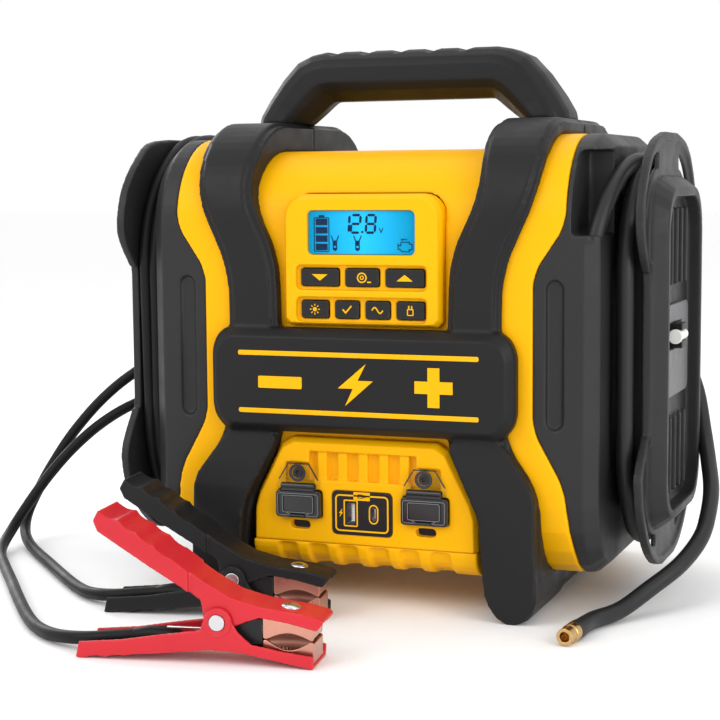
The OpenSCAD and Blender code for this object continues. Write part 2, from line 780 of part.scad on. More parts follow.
// Routes of the free lengths, each from its spool to what it ends in
hose_route = [[149, 77, 180], [150, 78, 160], [157, 80, 138], [166, 77, 116], [173, 64, 92], [179, 46, 76],
    [185, 22, 62], [187, 0, 50], [186, -20, 39], [178, -42, 27], [164, -62, 16], [151, -82, 7],
    [140, -104, 5.5], [137, -124, 5.5]];
red_route = [[-154, 84, 150], [-156, 85, 138], [-164, 86, 125], [-180, 78, 114], [-202, 60, 106],
    [-226, 38, 97], [-246, 26, 84], [-263, 14, 67], [-277, 3, 48], [-287, -9, 29], [-291, -24, 14],
    [-287, -43, 6], [-276, -62, 4], [-258, -86, 4], [-230, -122, 4], [-200, -161, 4], [-172, -196, 4],
    [-152, -217, 4], [-132, -231, 5], [-110, -237, 7], [-90, -234, 9], [-72, -231, 11]];
black_route = [[-145, 82, 200], [-147, 84, 184], [-156, 86, 168], [-174, 80, 152], [-201, 62, 136],
    [-226, 42, 120], [-248, 32, 101], [-268, 24, 77], [-282, 17, 54], [-290, 10, 36], [-294, 2, 21],
    [-290, -9, 11], [-279, -23, 6], [-261, -42, 4], [-234, -70, 4], [-207, -98, 4], [-184, -121, 4],
    [-164, -138, 5], [-144, -146, 7], [-124, -143, 9], [-106, -140, 11]];

coil_x0 = pod_x + 1;
coil_x1 = flange_x - 1;
module coil(w, h) {
    translate([0, 0, spool_z]) across(coil_x0, coil_x1) difference() {
        polygon(slot(w, h));
        polygon(slot(hub_w + 0.4, hub_h + 0.4));
    }
}

module hose_winding() {
    color("#1f1f21") coil(71, 124);
}

module air_hose() {
    color("#1f1f21") tube(smooth(hose_route, 2), hose_d / 2, 10);
}

hose_end = hose_route[len(hose_route) - 1];
nozzle_turn = -8;
module on_hose_end() {
    translate(hose_end) rotate([90, 0, nozzle_turn]) children();
}

module hose_ferrule() {
    color("#151516") on_hose_end() cylinder(h = 7, r = hose_d / 2 + 0.4);
}

module brass_nozzle() {
    color("#b58c4c") on_hose_end() difference() {
        union() {
            translate([0, 0, 7]) cylinder(h = 6, r = 5.3);
            translate([0, 0, 13]) cylinder(h = 8, r = 4.7);
        }
        translate([0, 0, 9]) cylinder(h = 20, r = 2.8);
    }
}

module cable_winding() {
    color("#18181a") mirror([1, 0, 0]) coil(84, 128);
}

module red_cable() {
    color("#161617") tube(smooth(red_route, 2), cable_d / 2, 8);
}

module black_cable() {
    color("#161617") tube(smooth(black_route, 2), cable_d / 2, 8);
}

// ---------- clamps ----------
// Each clamp is drawn lying along X from its tail, standing on its lower lever
red_at = [-110, -237, 0];
black_at = [-144, -146, 0];
pivot = [79.8, 23];
plate_t = 2;
inner_w = clamp_w / 2 - plate_t;
upper_w = inner_w - run_gap;
lower_back = [[0, 0], [14, 0.7], [42, 4], [76, 7.8], [92, 7], [111, 3.7], [131.5, 0]];
lower_side = concat(lower_back, [[132, 7], [114, 9.2], [98, 12], [91, 18]], arc(pivot, 8, 0, 180),
    [[70, 18.3], [48, 15], [26, 11.2], [2, 9]]);
upper_back = [[14.5, 80.5], [27, 75.6], [40, 66.9], [52, 57.8], [71, 44.6], [87, 35.7], [103, 31.6],
    [125, 28.9], [133.5, 27]];
upper_side = concat(upper_back, [[136, 25.6], [136.4, 24], [133, 20], [117, 23.7], [102, 25.8], [93, 22.6]],
    arc(pivot, 8.3, -20, -180), [[71, 29], [70, 34], [60, 41], [43, 51], [27, 61], [14, 69.2], [11.5, 75]]);

function lifted(p, k) = [for (q = p) [q.x, q.y + k]];

module placed(at) {
    translate(at) rotate([0, 0, clamp_turn]) children();
}

module pivot_bar(r, w) {
    translate([pivot.x, w, pivot.y]) rotate([90, 0, 0]) cylinder(h = 2 * w, r = r);
}

module lower_lever() {
    difference() {
        along(-clamp_w / 2, clamp_w / 2) polygon(lower_side);
        along(-inner_w, inner_w)
            polygon(concat([[-1, plate_t]], lifted(lower_back, plate_t),
                [[133, plate_t], [133, 50], [-1, 50]]));
        pivot_bar(clamp_pin_r, clamp_w);
    }
}

grip_end = 64;
module upper_lever() {
    difference() {
        union() {
            along(-upper_w, upper_w) polygon(upper_side);
            intersection() {
                along(-clamp_w / 2, clamp_w / 2) polygon(upper_side);
                translate([0, -big / 2, 0]) cube([grip_end, big, big]);
            }
        }
        along(-upper_w + plate_t, upper_w - plate_t)
            polygon(concat([[10, 78]], lifted(upper_back, -2.4), [[138, 23], [138, 0], [10, 0]]));
        intersection() {
            along(-inner_w, inner_w)
                polygon(concat([[10, 78]], lifted(upper_back, -2.4), [[138, 23], [138, 0], [10, 0]]));
            translate([0, -big / 2, 0]) cube([grip_end - 3, big, big]);
        }
        pivot_bar(clamp_pin_r + pin_gap, clamp_w);
    }
}

module clamp_pin() {
    pivot_bar(clamp_pin_r, clamp_w / 2);
    for (s = [-1, 1])
        translate([pivot.x, s * (clamp_w / 2 + 0.6), pivot.y]) rotate([90, 0, 0])
            cylinder(h = 1.2, r = 4.3, center = true);
}

jaw_w = 10.4;
jaw_t = 1.8;
jaw_x = 103.5;
eye_x = 105.5;
eye_w = 24;
// The edge of a jaw's cheek, with a long round bay of the given depth
function cheek_edge(z, depth) = [for (i = [0:12]) [eye_x + eye_w * i / 12, z + depth * sin(15 * i)]];

// Two cheeks of a jaw, which is bent up from sheet
module cheeks() {
    for (s = [-1, 1])
        along(s * (jaw_w - jaw_t / 2) - jaw_t / 2, s * (jaw_w - jaw_t / 2) + jaw_t / 2) children();
}

tooth = 2;
tooth_w = 5;
// A row of teeth with tips at the given height above a floor, which is z high at the first tooth and
// falls by the given slope; each tooth's root lies inside the floor
module teeth(x0, x1, z, slope, root, tip) {
    for (x = [x0:tooth:x1])
        translate([x, 0, z - slope * (x - x0)]) along(-tooth_w, tooth_w)
            polygon([[0, root], [tooth, root], [tooth / 2, tip]]);
}

crimp_x = 38.2;
module lower_jaw() {
    cheeks() polygon(concat([[jaw_x, 7], [jaw_x, 13.2], [104, 13.8]], cheek_edge(13.8, -5),
        [[130.4, 13.4], [131, 12.6], [131, 2.2], [111, 5.8]]));
    along(-jaw_w, jaw_w) polygon([[95, 8.5], [111, 5.7], [131, 2.2], [131, 4.2], [111, 7.7], [95, 10.5]]);
    along(-jaw_w, jaw_w) polygon([[129.2, 4], [131, 4], [131, 12.8], [129.2, 12.8]]);
    teeth(104, 127, 8.725, 0.175, -0.8, 2.4);
    // The strap that runs back from the jaw to the crimp on the cable's end
    along(-tooth_w, tooth_w) polygon([[45, 6.4], [76, 9.8], [92, 9], [95, 8.5], [95, 10], [92, 10.6],
        [76, 11.3], [45, 8]]);
    translate([crimp_x, 0, 11]) rotate([0, 90, 0]) cylinder(h = 10, r = 3.8);
}

module upper_jaw() {
    cheeks() polygon(concat([[jaw_x, 28.8], [jaw_x, 15], [104.3, 14.2]], cheek_edge(14.2, 3.6),
        [[130.6, 14.4], [131.2, 20], [130.2, 25.2], [125, 26.4]]));
    along(-jaw_w, jaw_w)
        polygon([[jaw_x, 27], [125, 24.4], [130.2, 23.2], [130.2, 25.2], [125, 26.4], [jaw_x, 29]]);
    along(-jaw_w, jaw_w) polygon([[129.4, 24.5], [129.4, 15], [130.7, 15], [131.2, 20], [130.4, 24.5]]);
    teeth(104, 125, 26.94, 0.121, 0.5, -2.6);
}

module clamp_springs() {
    color("silver") for (at = [red_at, black_at])
        placed(at) difference() {
            pivot_bar(6.6, 8);
            pivot_bar(4.6, 9);
        }
}

red_enamel = "#c8282f";
black_enamel = "#232325";
module red_lower_lever() { color(red_enamel) placed(red_at) lower_lever(); }
module red_upper_lever() { color(red_enamel) placed(red_at) upper_lever(); }
module red_pin() { color("silver") placed(red_at) clamp_pin(); }
module red_lower_jaw() { color(copper) placed(red_at) lower_jaw(); }
module red_upper_jaw() { color(copper) placed(red_at) upper_jaw(); }
module black_lower_lever() { color(black_enamel) placed(black_at) lower_lever(); }
module black_upper_lever() { color(black_enamel) placed(black_at) upper_lever(); }
module black_pin() { color("silver") placed(black_at) clamp_pin(); }
module black_lower_jaw() { color(copper) placed(black_at) lower_jaw(); }
module black_upper_jaw() { color(copper) placed(black_at) upper_jaw(); }

front_housing();
rear_housing();
front_bumper();
rear_bumper();
name_stripes();
carry_handle();
left_side_pod();
right_side_pod();
left_flange();
right_flange();
accessory_panel();
accessory_clip();
nozzle_adaptor();
control_panel();
lcd_module();
lcd_window();
button_down();
button_air();
button_up();
button_light();
button_check();
button_ac();
button_usb();
control_board();
lower_panel();
usb_panel();
usb_a_port();
usb_c_port();
ac_outlets();
cover_brackets();
left_outlet_cover();
right_outlet_cover();
screws();
battery();
compressor_motor();
compressor_pump();
inverter_board();
fan_frame();
cooling_fan();
rear_light_lens();
rear_light_board();
charge_inlet();
hose_winding();
air_hose();
hose_ferrule();
brass_nozzle();
cable_winding();
red_cable();
black_cable();
clamp_springs();
red_lower_lever();
red_upper_lever();
red_pin();
red_lower_jaw();
red_upper_jaw();
black_lower_lever();
black_upper_lever();
black_pin();
black_lower_jaw();
black_upper_jaw();
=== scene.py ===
"""Looks of the jump starter pack: materials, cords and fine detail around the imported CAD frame."""
import json
import math

import bmesh
import bpy
from mathutils import Matrix, Vector


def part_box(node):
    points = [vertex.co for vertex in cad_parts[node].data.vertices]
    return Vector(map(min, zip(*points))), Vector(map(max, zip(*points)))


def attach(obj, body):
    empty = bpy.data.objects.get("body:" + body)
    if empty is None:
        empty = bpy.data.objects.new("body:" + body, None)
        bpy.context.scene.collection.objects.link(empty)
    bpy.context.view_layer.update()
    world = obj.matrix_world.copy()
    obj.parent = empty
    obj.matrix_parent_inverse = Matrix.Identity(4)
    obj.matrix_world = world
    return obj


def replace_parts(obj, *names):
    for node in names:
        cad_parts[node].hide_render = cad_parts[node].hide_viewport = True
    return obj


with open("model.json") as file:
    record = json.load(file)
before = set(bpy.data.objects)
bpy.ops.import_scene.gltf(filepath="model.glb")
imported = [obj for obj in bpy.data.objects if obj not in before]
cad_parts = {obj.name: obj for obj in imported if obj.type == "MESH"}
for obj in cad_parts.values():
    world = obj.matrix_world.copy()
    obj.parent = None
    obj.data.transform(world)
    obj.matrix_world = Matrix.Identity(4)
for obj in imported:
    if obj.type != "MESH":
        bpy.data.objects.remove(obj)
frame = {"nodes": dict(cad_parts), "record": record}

NODES = frame["nodes"]
BODY_OF = {n: body for body, names in frame["record"]["behaviour"]["bodies"].items() for n in names}
SLOT_OF = {s["node"]: s["material_slot"] for s in frame["record"]["subparts"]}
MM = 0.001


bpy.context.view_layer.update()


# ---------- camera, light and floor ----------
CAMERA_PLACE = (0.3588, -1.0356, 0.2532)
CAMERA_TURN = (21.03, 5.95, -0.45)  # azimuth, pitch down and roll, in degrees
LENS, SENSOR = 85.7, 36
PACK_MIDDLE = (0, 0, 0.16)
WHITE = (1, 1, 1, 1)


def place_camera():
    """The camera stands to the right of the front and looks slightly down."""
    azimuth, pitch, roll = (math.radians(angle) for angle in CAMERA_TURN)
    right = Vector((math.cos(azimuth), math.sin(azimuth), 0))
    ahead = Vector((
        -math.cos(pitch) * math.sin(azimuth),
        math.cos(pitch) * math.cos(azimuth),
        -math.sin(pitch),
    ))
    up = right.cross(ahead)
    x_axis = math.cos(roll) * right + math.sin(roll) * up
    y_axis = -math.sin(roll) * right + math.cos(roll) * up
    data = bpy.data.cameras.new("camera")
    data.sensor_width = SENSOR
    data.lens = LENS
    camera = bpy.data.objects.new("camera", data)
    turn = Matrix((x_axis, y_axis, -ahead)).transposed().to_4x4()
    camera.matrix_world = Matrix.Translation(CAMERA_PLACE) @ turn
    bpy.context.scene.collection.objects.link(camera)
    bpy.context.scene.camera = camera


def area_light(name, place, size, watts):
    """A soft panel that faces the middle of the pack."""
    data = bpy.data.lights.new(name, "AREA")
    data.shape = "RECTANGLE"
    data.size, data.size_y = size
    data.energy = watts
    lamp = bpy.data.objects.new(name, data)
    aim = Vector(PACK_MIDDLE) - Vector(place)
    lamp.rotation_euler = aim.to_track_quat("-Z", "Y").to_euler()
    lamp.location = place
    bpy.context.scene.collection.objects.link(lamp)


def light_studio():
    """Four soft panels in a white room."""
    area_light("key", (-0.9, -1.5, 1.3), (1.2, 1.2), 11)
    area_light("fill", (1.7, -1.0, 0.8), (1.0, 1.4), 15)
    area_light("top", (0.1, 0.3, 1.7), (1.6, 1.0), 3)
    area_light("rim", (-1.5, 0.9, 0.9), (0.7, 1.4), 9)
    world = bpy.data.worlds.new("studio")
    world.use_nodes = True
    background = world.node_tree.nodes["Background"]
    background.inputs["Color"].default_value = WHITE
    background.inputs["Strength"].default_value = 1.0
    bpy.context.scene.world = world
    bpy.context.scene.view_settings.view_transform = "Standard"


# ---------- materials ----------
# Features a metre across each kind of noise
BLOTCH_NOISE, SPECK_NOISE, SCUFF_AND_HIGHLIGHT_NOISE, GLOSS_NOISE = 14, 420, 160, 55
# Radius of the edge mask for the lighter edges: partly wear, partly a painted highlight
WORN_AND_HIGHLIGHT_EDGE = 0.0022
GRAIN_HEIGHT = 0.0004
COAT_ROUGHNESS = 0.14
# The colour sockets of Blender's Mix node
MIX_A, MIX_B, MIX_RESULT = 6, 7, 2


class Graph:
    """A short way to build a node tree."""

    def __init__(self, name):
        self.material = bpy.data.materials.new(name)
        self.material.use_nodes = True
        self.tree = self.material.node_tree
        self.shader = self.tree.nodes["Principled BSDF"]
        coords = self.tree.nodes.new("ShaderNodeTexCoord")
        self.place = coords.outputs["Object"]

    def node(self, kind, inputs=(), **settings):
        made = self.tree.nodes.new("ShaderNode" + kind)
        for key, value in settings.items():
            setattr(made, key, value)
        for key, value in dict(inputs).items():
            if isinstance(value, bpy.types.NodeSocket):
                self.tree.links.new(value, made.inputs[key])
            else:
                made.inputs[key].default_value = value
        return made

    def noise(self, scale, detail=3, rough=0.55):
        """Noise from 0 to 1 with features about 1 / scale metres across."""
        made = self.node("TexNoise", {
            "Vector": self.place, "Scale": scale, "Detail": detail, "Roughness": rough})
        return made.outputs["Fac"]

    def span(self, value, low, high, start=0.3, end=0.7):
        """From low to high as the value goes from start to end."""
        made = self.node("MapRange", {
            "Value": value, "From Min": start, "From Max": end, "To Min": low, "To Max": high})
        return made.outputs["Result"]

    def mix(self, factor, a, b):
        """Colour a where the factor is 0, and b where it is 1."""
        return self.node("Mix", {"Factor": factor, MIX_A: a, MIX_B: b},
                         data_type="RGBA").outputs[MIX_RESULT]

    def link(self, value, socket):
        self.tree.links.new(value, self.shader.inputs[socket])

    def set(self, socket, value):
        self.shader.inputs[socket].default_value = value

    def edges(self, radius):
        """1 on the edges of a piece and 0 on its open faces."""
        round_normal = self.node("Bevel", {"Radius": radius}, samples=4).outputs["Normal"]
        true_normal = self.node("NewGeometry").outputs["Normal"]
        dot = self.node("VectorMath", {0: round_normal, 1: true_normal}, operation="DOT_PRODUCT")
        return self.span(dot.outputs["Value"], 1, 0, 0.86, 0.99)


def tinted(colour, k):
    return tuple(min(1, c * k) for c in colour[:3]) + (1,)


def surface(name, colour, rough, grain=2200, depth=0.04, blotch=0.06, edge_round=0.0, wear_and_highlight=0.0,
            wear_and_highlight_colour=None, metallic=0.0, coat=0.0, specular=0.5):
    """A moulded, painted or metal surface: blotchy colour, uneven gloss, fine grain, and edges
    lightened partly by wear and partly as a painted highlight.

    grain and depth are the fineness and strength of the bump, blotch is the spread of the colour,
    and the edge amount sets how much of the edge colour shows on the edges, partly as wear and partly
    as a painted highlight.
    """
    g = Graph(name)
    patch = g.noise(BLOTCH_NOISE, 4)
    colours = g.mix(g.span(patch, 0, 1), tinted(colour, 1 - blotch), tinted(colour, 1 + blotch))
    speck = g.noise(SPECK_NOISE, 2)
    colours = g.mix(g.span(speck, 0, 0.12, 0.45, 0.75), colours, tinted(colour, 0.8))
    # Lighter edges in patches: partly wear, partly a painted highlight on the rounded edges
    if wear_and_highlight:
        scuffs_and_highlight = g.span(g.noise(SCUFF_AND_HIGHLIGHT_NOISE, 5, 0.7), 0, wear_and_highlight, 0.42, 0.66)
        mask = g.node("Math", {0: g.edges(WORN_AND_HIGHLIGHT_EDGE), 1: scuffs_and_highlight}, operation="MULTIPLY").outputs[0]
        colours = g.mix(mask, colours, wear_and_highlight_colour)
    g.link(colours, "Base Color")
    g.link(g.span(g.noise(GLOSS_NOISE, 4), rough - 0.06, rough + 0.08), "Roughness")
    bump = g.node("Bump", {"Height": g.noise(grain, 2), "Strength": depth, "Distance": GRAIN_HEIGHT})
    if edge_round:
        rounded = g.node("Bevel", {"Radius": edge_round}, samples=6).outputs["Normal"]
        g.tree.links.new(rounded, bump.inputs["Normal"])
    g.link(bump.outputs["Normal"], "Normal")
    g.set("Metallic", metallic)
    g.set("Coat Weight", coat)
    g.set("Coat Roughness", COAT_ROUGHNESS)
    g.set("Specular IOR Level", specular)
    return g.material


def clear(name, colour, rough, alpha):
    """A thin clear or smoked plastic, told by its gloss and light haze."""
    g = Graph(name)
    g.link(g.mix(g.span(g.noise(30), 0, 1), tinted(colour, 0.94), tinted(colour, 1.04)), "Base Color")
    g.link(g.span(g.noise(90, 4), rough, rough + 0.06), "Roughness")
    bump = g.node("Bump", {"Height": g.noise(60, 2), "Strength": 0.03, "Distance": 0.001})
    g.link(bump.outputs["Normal"], "Normal")
    g.set("Alpha", alpha)
    return g.material


def glowing(name, colour, strength):
    """A backlit face, a little brighter in its middle than at its ends."""
    g = Graph(name)
    half_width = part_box("lcd_module")[1].x
    across = g.node("SeparateXYZ", {"Vector": g.place}).outputs["X"]
    reach = g.node("Math", {0: across}, operation="ABSOLUTE").outputs[0]
    shade = g.span(reach, 1, 0, 0, half_width)
    red, green, blue = colour
    colours = g.mix(shade, tinted(colour, 0.62), tinted((red + 0.012, green, blue), 1.3))
    colours = g.mix(g.span(g.noise(40), 0, 0.15), colours, tinted(colour, 0.8))
    g.link(colours, "Base Color")
    g.link(colours, "Emission Color")
    g.link(g.span(g.noise(120), 0.45, 0.6), "Roughness")
    g.set("Emission Strength", strength)
    g.set("Specular IOR Level", 0.02)
    return g.material


def make_materials():
    yellow = (0.88, 0.43, 0.0004)
    charcoal = (0.0095, 0.0095, 0.0102)
    # The edge colours below lighten edges: partly wear, partly a painted highlight
    grey = (0.10, 0.10, 0.105, 1)
    pale = (0.98, 0.62, 0.10, 1)
    pink = (0.72, 0.16, 0.14, 1)
    return {
        "yellow_shell": surface("yellow_plastic", yellow, 0.40, wear_and_highlight=0.35, wear_and_highlight_colour=pale,
                                blotch=0.03, specular=0.12),
        "charcoal_moulding": surface("charcoal_plastic", charcoal, 0.44, grain=1500, depth=0.14,
                                     wear_and_highlight=0.5, wear_and_highlight_colour=grey, specular=0.22),
        "grey_panel": surface("grey_plastic", (0.11, 0.11, 0.115), 0.42, depth=0.1, edge_round=0.0008),
        "white_plastic": surface("white_plastic", (0.78, 0.78, 0.75), 0.35, edge_round=0.0004),
        "display": glowing("display_blue", (0.0004, 0.33, 0.62), 0.6),
        "clear_window": clear("clear_plastic", (0.05, 0.055, 0.06), 0.05, 0.07),
        "black_button": surface("black_plastic", (0.010, 0.010, 0.011), 0.36, depth=0.06,
                                wear_and_highlight=0.3, wear_and_highlight_colour=grey, specular=0.3),
        "circuit_board": surface("solder_mask", (0.01, 0.12, 0.05), 0.3, grain=900, depth=0.1),
        "plated_steel": surface("plated_steel", (0.62, 0.62, 0.64), 0.24, grain=3000, metallic=1.0),
        "black_screw": surface("black_oxide", (0.03, 0.03, 0.032), 0.35, grain=2600, metallic=0.6),
        "smoked_cover": surface("smoked_plastic", (0.012, 0.0125, 0.014), 0.2, depth=0.02, coat=0.3,
                                specular=0.35),
        "battery_case": surface("battery_plastic", (0.05, 0.055, 0.06), 0.5, depth=0.1),
        "cast_alloy": surface("cast_alloy", (0.5, 0.51, 0.53), 0.45, grain=700, depth=0.3,
                              metallic=1.0),
        "hose_rubber": surface("hose_rubber", (0.012, 0.012, 0.013), 0.46, grain=900, depth=0.1,
                               specular=0.35),
        "brass_fitting": surface("turned_brass", (0.60, 0.38, 0.15), 0.24, grain=2600, metallic=1.0,
                                 blotch=0.14),
        "cable_jacket": surface("cable_jacket", (0.008, 0.008, 0.009), 0.42, grain=600, depth=0.05,
                                specular=0.16),
        "red_lever": surface("red_enamel", (0.56, 0.014, 0.026), 0.34, grain=500, depth=0.06,
                             wear_and_highlight=0.3, wear_and_highlight_colour=pink, coat=0.12, specular=0.3),
        "black_lever": surface("black_enamel", (0.011, 0.011, 0.012), 0.5, grain=500, depth=0.06,
                               wear_and_highlight=0.4, wear_and_highlight_colour=grey, specular=0.2),
        "copper_jaw": surface("copper_plate", (0.58, 0.28, 0.21), 0.3, grain=1200, depth=0.14,
                              metallic=1.0, edge_round=0.0004, blotch=0.16),
    }


MATERIALS = make_materials()
# A lighter copy of the charcoal plastic for the pods and flanges: painted light that lifts parts the
# lamps leave darker.
LIGHTENED_POD_PLASTIC = surface("pod_plastic_painted_lighter", (0.019, 0.019, 0.020), 0.44, grain=1500, depth=0.14, wear_and_highlight=0.5,
                      wear_and_highlight_colour=(0.12, 0.12, 0.125, 1), specular=0.26)
LEGEND = surface("legend_yellow", (0.88, 0.45, 0.002), 0.42, specular=0.12)
DARK_INK = surface("display_segment", (0.004, 0.02, 0.07), 0.5, specular=0.1)
# Painted highlight for the rim edges of the outlet covers
GLINT = surface("cover_edge_highlight", (0.20, 0.21, 0.22), 0.3)
CONTACT = surface("contact_white", (0.75, 0.75, 0.73), 0.35)
# A darker, duller copy of the jaw copper for the inner sheets: painted shade for the same copper in
# the shadow of the cheeks.
SHADED_JAW_COPPER = surface("copper_painted_shade", (0.46, 0.20, 0.145), 0.4, grain=1200, depth=0.14,
                     metallic=0.35)
FLOOR = surface("floor_paint", (0.98, 0.98, 0.98), 0.6, grain=300, depth=0.02, blotch=0.004,
                specular=0.2)


# ---------- helpers for pieces ----------
def mesh_data(name, b):
    """The mesh of a bmesh, which is freed."""
    data = bpy.data.meshes.new(name)
    b.to_mesh(data)
    b.free()
    return data


def tube_data(name, lines, radius, roundness):
    """A round tube along each line of points."""
    data = bpy.data.curves.new(name, "CURVE")
    data.dimensions = "3D"
    data.bevel_depth = radius
    data.bevel_resolution = roundness
    data.use_fill_caps = True
    for line in lines:
        spline = data.splines.new("POLY")
        spline.points.add(len(line) - 1)
        for point, place in zip(spline.points, line):
            point.co = (*place, 1)
        spline.use_smooth = True
    return data


def add_piece(name, mesh_or_curve, material, body):
    """Shows a piece that rides on a body, in the given material."""
    piece = bpy.data.objects.new(name, mesh_or_curve)
    bpy.context.scene.collection.objects.link(piece)
    mesh_or_curve.materials.clear()
    mesh_or_curve.materials.append(material)
    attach(piece, body)
    return piece


def baked(piece, modifiers):
    """The mesh of an object after its modifiers, each given as a kind and its settings."""
    for kind, settings in modifiers:
        modifier = piece.modifiers.new(kind, kind)
        for key, value in settings.items():
            setattr(modifier, key, value)
    finished = piece.evaluated_get(bpy.context.evaluated_depsgraph_get())
    mesh = bpy.data.meshes.new_from_object(finished)
    bpy.data.objects.remove(piece)
    return mesh


def moulded(node, cell, rounds, keep=0.4, shaped=None):
    """Stands for a CAD node with its edges rounded as a moulding's are.

    cell is the voxel size in millimetres, rounds the passes of smoothing and keep the share of the
    faces that stay. shaped may move the points.
    """
    source = bpy.data.objects.new(node + "_source", NODES[node].data.copy())
    bpy.context.scene.collection.objects.link(source)
    mesh = baked(source, [
        ("REMESH", {"mode": "VOXEL", "voxel_size": cell * MM, "use_smooth_shade": True}),
        ("SMOOTH", {"factor": 0.5, "iterations": rounds}),
        ("DECIMATE", {"ratio": keep}),
    ])
    if shaped:
        for vertex in mesh.vertices:
            vertex.co = shaped(vertex.co)
    for face in mesh.polygons:
        face.use_smooth = True
    mesh.name = node + "_skin"
    slot = SLOT_OF[node]
    piece = add_piece(node + "_skin", mesh, MATERIALS[slot], BODY_OF[node])
    piece.modifiers.new("even_shading", "WEIGHTED_NORMAL").weight = 50
    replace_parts(piece, node)
    return piece


def round_box(x, z, w, h, r, steps=5):
    """A box outline with round corners about x, z, by its half width, half height and radius."""
    line = []
    corners = ((w - r, h - r, 0), (r - w, h - r, 90), (r - w, r - h, 180), (w - r, r - h, 270))
    for cx, cz, start in corners:
        for i in range(steps + 1):
            a = math.radians(start + 90 * i / steps)
            line.append((x + cx + r * math.cos(a), z + cz + r * math.sin(a)))
    return line


class Relief:
    """Thin raised shapes that face the front, drawn in X and Z in millimetres between two depths."""

    def __init__(self, front, back):
        self.depths = (front, back)
        self.mesh = bmesh.new()

    def layers(self, outline):
        new = self.mesh.verts.new
        return [[new((x * MM, y * MM, z * MM)) for x, z in outline] for y in self.depths]

    def wall(self, near, far):
        for i in range(len(near)):
            j = (i + 1) % len(near)
            self.mesh.faces.new((near[i], near[j], far[j], far[i]))

    def plate(self, outline):
        near, far = self.layers(outline)
        self.mesh.faces.new(near)
        self.mesh.faces.new(far[::-1])
        self.wall(near, far)

    def ring(self, outer, inner):
        near, far = self.layers(outer)
        near_hole, far_hole = self.layers(inner)
        self.wall(near, far)
        self.wall(far_hole, near_hole)
        self.wall(near_hole, near)
        self.wall(far, far_hole)

    def frame(self, x, z, w, h, r, width):
        """A round box with an opening that leaves a border of the given width."""
        inner_r = max(r - width, 0.05)
        self.ring(round_box(x, z, w, h, r), round_box(x, z, w - width, h - width, inner_r))

    def stroke(self, points, width):
        """A line of even width through the points."""
        p = [Vector(q) for q in points]
        left, right = [], []
        for i, q in enumerate(p):
            ahead = (p[min(i + 1, len(p) - 1)] - q).normalized()
            behind = (q - p[max(i - 1, 0)]).normalized()
            along = (ahead + behind).normalized()
            square = Vector((-along.y, along.x))
            reach = width / 2 / max(0.5, along.dot(ahead if ahead.length else behind))
            left.append(q + square * reach)
            right.append(q - square * reach)
        self.plate([tuple(q) for q in left + right[::-1]])

    def piece(self, name, material, body, slot, bevel=0.0):
        bmesh.ops.recalc_face_normals(self.mesh, faces=self.mesh.faces)
        if bevel:
            bmesh.ops.bevel(self.mesh, geom=list(self.mesh.edges), offset=bevel * MM, segments=2,
                            profile=0.5, affect="EDGES", clamp_overlap=True)
        bmesh.ops.triangulate(self.mesh, faces=self.mesh.faces)
        return add_piece(name, mesh_data(name, self.mesh), material, body)


def repaint(piece, material):
    piece.data.materials.clear()
    piece.data.materials.append(material)


def lay_floor():
    """A wide white floor, which the light of the studio joins without a line."""
    reach, cells = 12.0, 8
    b = bmesh.new()
    bmesh.ops.create_grid(b, x_segments=cells, y_segments=cells, size=reach)
    mesh = mesh_data("floor", b)
    floor = bpy.data.objects.new("floor", mesh)
    bpy.context.scene.collection.objects.link(floor)
    mesh.materials.append(FLOOR)


def dress_nodes():
    """Gives every CAD node the material of its slot."""
    for node, piece in NODES.items():
        repaint(piece, MATERIALS[SLOT_OF[node]])


# ---------- casing ----------
PODS_AND_FLANGES = ("left_side_pod", "right_side_pod", "left_flange", "right_flange")


def round_casing():
    """Rounds the mouldings of the casing. The small ones take the smallest voxels."""
    for node in ("front_housing", "rear_housing", "front_bumper", "rear_bumper"):
        moulded(node, 1.1, 5, 0.3)
    for node in PODS_AND_FLANGES:
        cell = 0.9 if node.endswith("flange") else 1.1
        # The pods and flanges take the lighter copy of the charcoal: painted light.
        repaint(moulded(node, cell, 5, 0.3), LIGHTENED_POD_PLASTIC)
    moulded("carry_handle", 1.0, 6, 0.4)
    for node in ("control_panel", "lower_panel"):
        moulded(node, 0.55, 5, 0.4)
    for node in ("accessory_panel", "accessory_clip", "nozzle_adaptor"):
        moulded(node, 0.4, 3)
    for node in ("usb_panel", "cover_brackets", "screws", "ac_outlets", "name_stripes"):
        moulded(node, 0.3, 2, 0.3)


# ---------- display and buttons ----------
SEGMENTS_OF = {"1": "bc", "2": "abged", "8": "abcdefg"}
# Each segment runs between two of a figure's six corners: top, middle or bottom, left or right
SEGMENT_ENDS = {"a": "tl tr", "b": "tr mr", "c": "mr br", "d": "bl br", "e": "ml bl", "f": "tl ml",
                "g": "ml mr"}
LEAN, SEGMENT_GAP = 0.07, 0.2


def digit(ink, figure, x, z, w, h, width):
    """A seven-segment figure that leans to the right."""
    across, up = {"l": 0, "r": w}, {"t": h, "m": h / 2, "b": 0}
    for segment in SEGMENTS_OF[figure]:
        corners = SEGMENT_ENDS[segment].split()
        start, end = (Vector((across[side], up[level])) for level, side in corners)
        along = (end - start).normalized()
        square = Vector((-along.y, along.x)) * width / 2
        gap = along * width * SEGMENT_GAP
        p, q, nose = start + gap, end - gap, along * width / 2
        outline = [p, p + nose + square, q - nose + square, q, q - nose - square, p + nose - square]
        ink.plate([(x + v.x + v.y * LEAN, z + v.y) for v in outline])


def draw_battery_gauge(ink):
    gauge_x, cap_z, bar_zs = -25, 233.0, (214.9, 219.8, 224.7, 229.6)
    ink.frame(gauge_x, 222.2, 4.9, 10.1, 0.5, 0.5)
    ink.plate(round_box(gauge_x, cap_z, 1.8, 0.6, 0.2))
    for z in bar_zs:
        ink.plate(round_box(gauge_x, z, 3.7, 1.9, 0.2))


